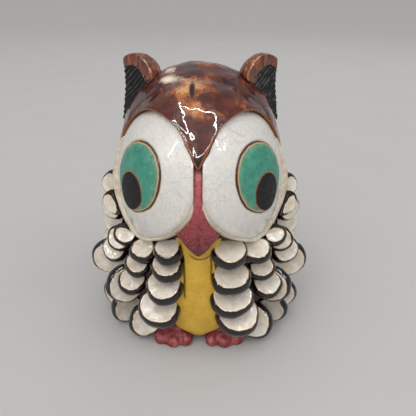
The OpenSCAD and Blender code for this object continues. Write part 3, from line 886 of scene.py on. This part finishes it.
def make_belly():
    me = remade("belly_panel", 0.36, 4)
    p, n = coords(me), normals(me)
    x, z = p[:, 0], p[:, 2]
    wave = 0.35 * lump(np.stack([z, z * 0, z * 0], 1), 7, 13)
    left = np.exp(-(((x + 6.1 - 0.02 * (44 - z) + wave) / 0.42) ** 2)) * step(z, 26, 29) * step(-z, -52, -50)
    right = np.exp(-(((x - 5.2 + wave) / 0.36) ** 2)) * step(z, 36, 38) * step(-z, -50, -47)
    hook = np.exp(-(((np.hypot(x - 0.6, z - 50.5) - 4.6) / 0.34) ** 2))
    hook = hook * step(-z, -49, -46.6) * step(x, -4.2, -3)
    cut = np.clip(left + right + hook, 0, 1) * step(-p[:, 1], 28, 30)
    lo, hi = box_mm("belly_panel")
    # the upper end reaches up beside the beak's point
    collar = step(z, body_h - 14, body_h - 4)
    half = np.interp(z, [body_h - 14, body_h - 5, body_h + 1], [hi[0] * 0.85, 10.6, 11.6])
    levels = np.arange(lo[2] + 1, hi[2])
    reach = np.interp(z, levels, [np.abs(x[np.abs(z - at) < 1]).max() for at in levels])
    x = x * (1 + (np.maximum(half / np.maximum(reach, 1), 1) - 1) * collar)
    proud = 0.9 * collar * step(np.abs(x), 4, 9)
    rise = 6.0 * step(z, hi[2] - 6, hi[2]) * step(np.abs(x), 3, 10)
    p = np.stack([x, p[:, 1] - proud, z + rise], 1)
    # the lower end narrows between the feet
    low_edge = step(-z, -(lo[2] + 2.5), -lo[2])
    sink = step(-z, -24, -lo[2])
    taper = 0.1 * sink + 0.42 * step(-z, -(lo[2] + 5), -lo[2])
    p = p - np.stack([x * taper, 1.2 * sink, 3.2 * sink * (1 - 0.5 * (x / hi[0]) ** 2)], 1)
    set_coords(me, p + n * (0.18 * lump(p, 8, 14) + 0.06 * lump(p, 2.5, 15) - 0.5 * cut)[:, None])
    finish_mesh(me, {"cut": cut, "edge": low_edge})
    return piece("belly", me, belly_material(), "mustard_glaze", "belly_panel")


def ball(centre, radii):
    """A stretched ball as a mesh."""
    rings = []
    for b in np.linspace(0.05, np.pi - 0.05, 24):
        a = np.linspace(0, 2 * np.pi, 48, endpoint=False)
        flat = np.full_like(a, np.cos(b))
        rings.append(np.stack([np.sin(b) * np.cos(a), np.sin(b) * np.sin(a), flat], 1))
    verts, faces = rings_to_shell(np.array(rings))
    verts = verts * np.array(radii) + np.array(centre)
    verts[:, 2] = np.maximum(verts[:, 2], 0)
    return mesh_of(verts, faces)


def make_foot(word):
    lo, hi = box_mm(word + "_foot")
    mid = (lo + hi) / 2
    fill = ball((mid[0], lo[1] + 9.2, 2.2), (0.5 * (hi[0] - lo[0]) - 0.6, 8.0, 4.6))
    me = remade(word + "_foot", 0.4, 12, fill)
    p, n = coords(me), normals(me)
    h = 0.6 * lump(p, 3.4, 16) + 0.4 * lump(p, 1.5, 17)
    floor = step(p[:, 2], 0.2, 1.6)
    set_coords(me, p + n * (0.28 * h * floor)[:, None])
    clay_ = step(p[:, 2], 6.5, 9.5)
    # h is the lumps' height; the glaze paints it lighter on top as highlight and darker in the hollows as
    # shade
    finish_mesh(me, {"h": 0.5 + 0.5 * h, "clay": clay_})
    return piece(word + "_toes", me, FOOT_MAT, "crimson_glaze", word + "_foot")


make_beak()
make_belly()
FOOT_MAT = foot_material()
make_foot("left")
make_foot("right")


# ---- ears ----
def make_ear(side):
    word = "right" if side > 0 else "left"
    me = remade(word + "_ear", 0.42, 4)
    p, n = coords(me), normals(me)
    lo, hi = box_mm(word + "_ear")
    m = aim(ear_az, 0) * np.array([[side], [1], [1]])
    face_n = m[:, 2]
    foot_z = step(-p[:, 2], -(lo[2] + hi[2]) / 2, -lo[2])
    p = p - np.outer(foot_z, (-1.6 * side, 0, 3.2))
    turned = step(n @ face_n, 0.2, 0.75)
    set_coords(me, p + n * (0.35 * lump(p, 6, 18) + 0.14 * lump(p, 2.2, 19))[:, None])
    edge = 0.55 * np.exp(-(((n @ face_n - 0.45) / 0.3) ** 2)) + 0.25 * turned
    finish_mesh(me, {"edge": edge})
    piece(word + "_ear_shell", me, EAR_MAT, "ear_glaze", word + "_ear")
    me = remade(word + "_ear_pad", 0.26, 2)
    p, n = coords(me), normals(me)
    pad_lo = p[:, 2].min()
    across = p @ m[:, 0]
    p = p - np.outer(0.22 * (across.max() - across), m[:, 0])
    p = p - np.outer(step(-p[:, 2], -(pad_lo + hi[2]) / 2, -pad_lo), (-1.8 * side, 0.3, 4.5))
    q = p @ m
    slant = math.radians(40)
    along = q[:, 1] * math.cos(slant) - side * q[:, 0] * math.sin(slant) + 0.5 * lump(p, 4, 20)
    ridge = 0.5 + 0.5 * np.cos(2 * np.pi * along / 1.75)
    ridge = np.clip(ridge * (0.8 + 0.9 * lump(p, 2.6, 21)), 0, 1)
    facing = step(n @ m[:, 2], 0.3, 0.8)
    set_coords(me, p + n * (facing * (0.7 * ridge - 0.4) + 0.06 * lump(p, 1.2, 22))[:, None])
    # h marks the ridges' tops, which the pad colour paints lighter grey as highlight
    finish_mesh(me, {"h": ridge * facing})
    piece(word + "_ear_inlay", me, PAD_MAT, "black_pad_slip", word + "_ear_pad")


EAR_MAT = ear_material()
PAD_MAT = pad_material()
make_ear(-1)
make_ear(1)


# ---- feathers: the CAD's rows and places, each disc shaped and turned one by one ----
row_n = [10, 8, 7, 7, 7]
row_start = [19, 19, 20, 27, 37]
row_at = [0, 0.16, 0.39, 0.68, 1]
row_grow = [0, 0.4, 0.78, 1, 0.85]
feather_small, feather_large = 10.0, 17.0
feather_lean, feather_flare = 22.0, 30.0
low_z = 0.8 * feather_large
back_from = 100
disc_t, side_disc_t = 5.6, 4.8
edge_w = 1.7
# the discs against the CAD's, by row: how far they sag, how much fuller they are, and how
# many degrees nearer the belly; the first two at the front on each side, then at the flanks
sag = {-1: [0, 0, 0, -0.5, 0], 1: [-0.3, 4.5, 5, 3.5, 0]}
fuller = {-1: [1.2, 0.8, 0.5, 0.9, 0.8], 1: [2.6, 1.8, 1.4, 1.2, 0.8]}
side_sag = [3, 5, 5.5, 0, 5.2]
full_side = [0.3, -0.5, -1.1, 0, -0.4]
# which way the faces look: their elevation at places round the body, and their azimuth in the front
# column and beside it
face_up = [((19, 66), (36, 56), (53, 38), (70, 12), (86, 6), (100, 18), (118, 40)),
           ((19, 66), (40, 54), (62, 30), (83, 4), (100, 18), (118, 40)),
           ((20, 64), (45, 50), (69, 26), (80, 8), (94, 14), (118, 40)),
           ((27, 58), (50, 9), (74, 2), (98, 14), (118, 40)),
           ((37, 20), (59, 2), (81, 2), (100, 14), (118, 40))]
face_out = [(10, -2), (10, -4), (10, -6), (10, -26), (-6, -30)]
front_turn = [0, 0, 0, 3.5, 0]
rim_z = eye_c[2] + rim_d * math.sin(math.radians(eye_el))
rim_az = math.degrees(
    math.atan2(
        rim_d * math.cos(math.radians(eye_el)) * math.sin(math.radians(eye_az)) + eye_c[0],
        rim_d * math.cos(math.radians(eye_el)) * math.cos(math.radians(eye_az)) - eye_c[1],
    )
)
rim_s = body_r * math.radians(rim_az)


def row_step(k):
    """Degrees between the discs of row k."""
    return (180 - row_start[k]) / (row_n[k] - 0.5)


def f_az(k, i):
    """Azimuth of disc i in row k, from the belly round to the back."""
    return row_start[k] + i * row_step(k)


def top_z(az):
    """Height of the first row, which follows the lower edge of the eye."""
    ds, d = body_r * math.radians(az) - rim_s, ledge_r + 0.4
    return min(body_h + 6, rim_z - math.sqrt(max(0, d * d - ds * ds)))


def f_z(k, az):
    return top_z(az) * (1 - row_at[k]) + low_z * row_at[k]


def f_turn(k, az):
    """How far a disc is turned about its own normal, as the rows fan out round the eye."""
    fade = clamp((125 - az) / 40, 0, 1)
    near = math.degrees(math.atan2(body_r * math.radians(az) - rim_s, rim_z - f_z(k, az)))
    return fade * ((1 - row_at[k]) * clamp(near, 0, 70) + row_at[k] * clamp((az - 20) * 1.7, 0, 75))


def f_r(k, i):
    """Radius of a disc; round the back it can't be wider than its share of the row."""
    full = (feather_small + (feather_large - feather_small) * row_grow[k]) / 2
    if f_az(k, i) < back_from:
        return full
    return min(full, 0.97 * body_r * math.sin(math.radians(row_step(k) / 2)))


def petal(k, i, side, start):
    """Disc i of row k: a dished pale face in a dark band. u tells the two apart, pool is its depth."""
    rng = np.random.RandomState(1000 + 100 * k + 10 * i + (side > 0))
    az = f_az(k, i)
    z, r, turn = f_z(k, az), f_r(k, i), f_turn(k, az)
    lean = feather_lean + feather_flare * turn / 75
    jit = rng.uniform(-1, 1, 8)
    r *= 1 + 0.05 * jit[0]
    az_j, z = az + 0.8 * jit[1], z + 0.5 * jit[2]
    turn, lean = turn + 4 * jit[3], lean + 3.5 * jit[4]
    centre = np.array([0, -feather_t, -0.45 * r]) @ rot("x", -lean).T @ rot("y", -turn).T
    centre += np.array([0, -skin_r(z), z])
    front, mid = 1 - step(az, 30, 44), step(az, 30, 44) * (1 - step(az, 78, 100))
    az_j -= front_turn[k] * front
    flank = step(az, 60, 76) * (1 - step(az, 98, 112))
    centre += np.array([0, -1.6 * flank, -sag[side][k] * front - side_sag[k] * mid])
    r += fuller[side][k] * front + full_side[k] * mid + 0.2 * r * step(az, 84, 105) + 0.5 * flank
    up = math.radians(np.interp(az, *zip(*face_up[k])) + 3 * jit[4])
    inward = face_out[k][0] * front + face_out[k][1] * (1 - front) + 30 * step(az, 52, 80)
    out = math.radians(inward + 4 * jit[3] + (az - inward) * step(az, 84, 116))
    face = np.array([math.sin(out) * math.cos(up), -math.cos(out) * math.cos(up), math.sin(up)])
    slope = np.array([0, 0, 1]) - face * face[2]
    slope /= np.linalg.norm(slope)
    turned = np.stack([np.cross(slope, face), slope, face])
    thick = disc_t - (disc_t - side_disc_t) * mid
    count = 72
    a = np.linspace(0, 2 * np.pi, count, endpoint=False)
    face_r = r - edge_w
    dish = 0.8 + 0.25 * jit[5]
    prof = [(face_r * t, -dish * (1 - t**2.2), 0.0) for t in np.linspace(0.06, 0.94, 12)]
    prof += [(face_r, 0.06, 0.36)]
    prof += [
        (face_r + bulge, -deep * thick, uu)
        for bulge, deep, uu in (
            (0.2, 0.0, 0.5), (0.46, 0.03, 0.66), (0.85, 0.1, 0.9), (1.25, 0.2, 1.1),
            (1.55, 0.34, 1.1), (1.68, 0.52, 1.1), (1.55, 0.72, 1.1), (1.0, 0.9, 1.1),
            (-0.15 * face_r, 1.0, 1.1), (-0.6 * face_r, 1.02, 1.1),
        )
    ]
    wob = 1 + 0.03 * np.cos(2 * a + 3 * jit[6]) + 0.022 * np.cos(3 * a + 3 * jit[7])
    wob += 0.012 * np.cos(5 * a + 7 * jit[1])
    rings, u, pool = [], [], []
    for rr, h, uu in prof:
        x, y = rr * wob * np.cos(a), rr * wob * np.sin(a)
        ray = np.stack([3 * np.cos(a), 3 * np.sin(a), np.full_like(a, rr * 0.06 + k + i * 3)], 1)
        marks = 0.2 * lump(ray, 0.9, 23 + k) * min(1, (rr / face_r) ** 2)
        bend = -0.045 * (y + 0.25 * r) ** 2 / r
        rings.append(np.stack([x, y, h + marks * (uu < 1) + bend], 1))
        u += [uu] * count
        pool += [1 - min(1, rr / face_r)] * count
    verts, faces = rings_to_shell(np.array(rings), start)
    u += [0.0, 1.1]
    pool += [1.0, 0.0]
    verts = verts @ turned + centre @ rot("z", az_j).T
    # pressed against the eye ledge, never into it
    m, c = eye_frame(1)
    q = wrap((verts - c) @ m, True)
    rad, edge = np.hypot(q[:, 0], q[:, 1]), ledge_out(np.arctan2(q[:, 1], q[:, 0])) + 0.1
    push = np.where((rad < edge) & (q[:, 2] > seat_d - 20), edge / np.maximum(rad, 1), 1.0)
    q[:, 0], q[:, 1] = q[:, 0] * push, q[:, 1] * push
    verts = wrap(q) @ m.T + c
    if az >= back_from:
        verts[:, 0] = np.maximum(verts[:, 0], 0.1)
    verts = verts * np.array([side, 1, 1])
    verts = verts + 0.16 * np.stack([lump(verts, 3.5, seed) for seed in (30, 31, 32)], 1)
    verts[:, 2] = np.maximum(verts[:, 2], 0.3)
    return verts, faces, u, pool


def make_row(name, k, picks, *replaced):
    verts, faces, u, pool, start = [], [], [], [], 0
    for side, i in picks:
        v, f, uu, pp = petal(k, i, side, start)
        verts.append(v)
        faces += f
        u += uu
        pool += pp
        start += len(v)
    me = mesh_of(np.concatenate(verts), faces, {"u": u, "pool": pool})
    piece(name, me, FEATHER_MAT, "feather_glaze", *replaced)


FEATHER_MAT = feather_material()
for k in range(5):
    for side, word in ((-1, "left"), (1, "right")):
        picks = [(side, i) for i in range(row_n[k]) if f_az(k, i) < back_from]
        make_row(f"{word}_feather_row_{k + 1}", k, picks, f"{word}_feathers_{k + 1}")
    picks = [(side, i) for side in (-1, 1) for i in range(row_n[k]) if f_az(k, i) >= back_from]
    make_row(f"back_feather_row_{k + 1}", k, picks, f"back_feathers_{k + 1}")


# ---- floor and light ----
def make_floor():
    size = 6.0
    n = 24
    g = np.linspace(-size, size, n)
    verts = [(x, y, 0) for y in g for x in g]
    corners = [j * n + i for j in range(n - 1) for i in range(n - 1)]
    faces = [(c, c + 1, c + n + 1, c + n) for c in corners]
    me = bpy.data.meshes.new("floor")
    me.from_pydata(verts, [], faces)
    obj = bpy.data.objects.new("floor", me)
    scene.collection.objects.link(obj)
    s = Shade("floor", rough=0.75, specular=0.2)
    base = s.mix(s.noise(260, 4), lin(172, 171, 169), lin(178, 176, 174))
    base = s.over(base, lin(166, 165, 163), s.noise(60, 5), (0.45, 0.0), (0.75, 0.3))
    me.materials.append(s.done(base, normal=s.bump(s.noise(25, 3), 1.5, 0.2)))


def area(name, at, to, width, height, power, colour=(1, 1, 1), glossy=True, diffuse=True):
    light = bpy.data.lights.new(name, "AREA")
    light.shape = "RECTANGLE"
    light.size, light.size_y = width, height
    light.energy = power
    light.color = colour
    obj = bpy.data.objects.new(name, light)
    scene.collection.objects.link(obj)
    obj.location = at
    obj.rotation_euler = (Vector(at) - Vector(to)).to_track_quat("Z", "Y").to_euler()
    obj.visible_glossy = glossy
    obj.visible_diffuse = diffuse
    return obj


make_floor()
world = bpy.data.worlds.new("world")
scene.world = world
world.use_nodes = True
world.node_tree.nodes["Background"].inputs[0].default_value = (*lin(214, 216, 219), 1)
world.node_tree.nodes["Background"].inputs[1].default_value = 0.5
# a broad, soft light from above, then three panels; none of them shows in a reflection
sky = bpy.data.lights.new("sky", "SUN")
sky.color = (1, 0.99, 0.975)
sky.energy, sky.angle = 2.1, math.radians(100)
sky_obj = bpy.data.objects.new("sky", sky)
scene.collection.objects.link(sky_obj)
sky_obj.rotation_euler = Vector((-0.08, -0.6, 1.0)).to_track_quat("Z", "Y").to_euler()
sky_obj.visible_glossy = False
area("key", (-0.3, -0.85, 1.05), (0, 0, 0.05), 0.9, 0.9, 5.5, (1, 0.985, 0.96), glossy=False)
area("fill", (0.9, -0.35, 0.8), (0, 0, 0.05), 0.8, 0.8, 1.8, (0.95, 0.97, 1), glossy=False)
area("rear", (0.2, 0.9, 0.9), (0, 0, 0.06), 0.9, 0.6, 2.0, (0.96, 0.98, 1), glossy=False)
# a frame of four strips, seen only in reflections and placed to show on the brow
far = 0.9
strip_power, glint_power = 170, 150
brow_point = Vector((0, -0.0398, 0.1))
brow_normal = (brow_point - Vector((0, -0.013, 0.080))).normalized()
to_camera = (cam.location - brow_point).normalized()
mirror = (2 * brow_normal.dot(to_camera) * brow_normal - to_camera).normalized()
right = mirror.cross(Vector((0, 0, 1))).normalized()
upward = right.cross(mirror).normalized()
frame_at = brow_point + mirror * far
half_w, half_h, strip = 0.3, 0.5, 0.032
for name, dx, dy, w, h in (
    ("strip_left", -half_w, 0, strip, 2 * half_h),
    ("strip_right", half_w, 0, strip, 2 * half_h),
    ("strip_top", 0, half_h, 2 * half_w, strip),
    ("strip_low", 0, -half_h, 2 * half_w, strip),
):
    at = frame_at + right * dx + upward * dy
    strip_obj = area(name, at, frame_at, w, h, strip_power * w * h, diffuse=False)
    strip_obj.rotation_euler = Matrix((-right, upward, mirror)).transposed().to_euler()

# a narrow glint on each eye dome, seen only in reflections
glint_w = 0.03
for side, (az, el), length in ((-1, (27, 29.4), 0.34), (1, (24.3, 34.3), 0.16)):
    n = Vector(aim(az, el)[:, 2] * np.array([side, 1, 1]))
    at = Vector(eye_c * np.array([side, 1, 1]) * MM) + n * (eye_r * MM)
    ray = (cam.location - at).normalized()
    ray = (2 * n.dot(ray) * n - ray).normalized()
    word = "right" if side > 0 else "left"
    power = glint_power * glint_w * length
    area(word + "_glint", at + ray * far, at, glint_w, length, power, diffuse=False)
